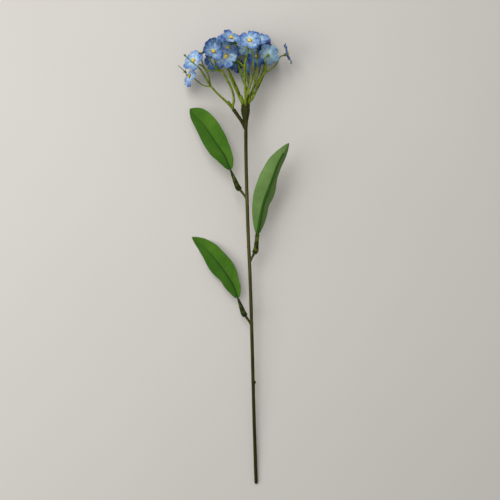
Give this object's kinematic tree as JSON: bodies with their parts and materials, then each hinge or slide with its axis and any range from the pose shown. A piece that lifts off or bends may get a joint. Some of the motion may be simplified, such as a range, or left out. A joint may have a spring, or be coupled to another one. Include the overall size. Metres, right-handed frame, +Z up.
{
  "type": "artificial forget-me-not spray",
  "caption": "Slender artificial forget-me-not spray lying flat: an olive stem with folded green leaves and a domed head of small blue five-petalled flowers on thin branching stalks.",
  "frame": {"origin": "the middle of the spray's box, on the surface that it lies on", "axes": "+Y along the stem towards the flowers, +X to the right of it seen from above, +Z up"},
  "size_m": [0.1498, 0.6036, 0.0775],
  "materials": {
    "stem_plastic": "satin",
    "spray_plastic": "satin",
    "petal_fabric": "matte",
    "eye_plastic": "satin",
    "leaf_fabric": "satin",
    "socket_plastic": "satin"
  },
  "bodies": {
    "root": {"main_stem": "stem_plastic", "spray_left": "spray_plastic", "spray_front": "spray_plastic", "spray_leaning": "spray_plastic", "spray_right": "spray_plastic", "spray_back": "spray_plastic", "corolla_01": "petal_fabric", "corolla_02": "petal_fabric", "corolla_03": "petal_fabric", "corolla_04": "petal_fabric", "corolla_05": "petal_fabric", "corolla_06": "petal_fabric", "corolla_07": "petal_fabric", "corolla_08": "petal_fabric", "corolla_09": "petal_fabric", "corolla_10": "petal_fabric", "corolla_11": "petal_fabric", "corolla_12": "petal_fabric", "corolla_13": "petal_fabric", "corolla_14": "petal_fabric", "corolla_15": "petal_fabric", "corolla_16": "petal_fabric", "corolla_17": "petal_fabric", "corolla_18": "petal_fabric", "corolla_19": "petal_fabric", "corolla_20": "petal_fabric", "corolla_21": "petal_fabric", "corolla_22": "petal_fabric", "corolla_23": "petal_fabric", "eye_01": "eye_plastic", "eye_02": "eye_plastic", "eye_03": "eye_plastic", "eye_04": "eye_plastic", "eye_05": "eye_plastic", "eye_06": "eye_plastic", "eye_07": "eye_plastic", "eye_08": "eye_plastic", "eye_09": "eye_plastic", "eye_10": "eye_plastic", "eye_11": "eye_plastic", "eye_12": "eye_plastic", "eye_13": "eye_plastic", "eye_14": "eye_plastic", "eye_15": "eye_plastic", "eye_16": "eye_plastic", "eye_17": "eye_plastic", "eye_18": "eye_plastic", "eye_19": "eye_plastic", "eye_20": "eye_plastic", "eye_21": "eye_plastic", "eye_22": "eye_plastic", "eye_23": "eye_plastic", "leaf_blade_1": "leaf_fabric", "leaf_blade_2": "leaf_fabric", "leaf_blade_3": "leaf_fabric", "leaf_socket_1": "socket_plastic", "leaf_socket_2": "socket_plastic", "leaf_socket_3": "socket_plastic"}
  },
  "joints": []
}
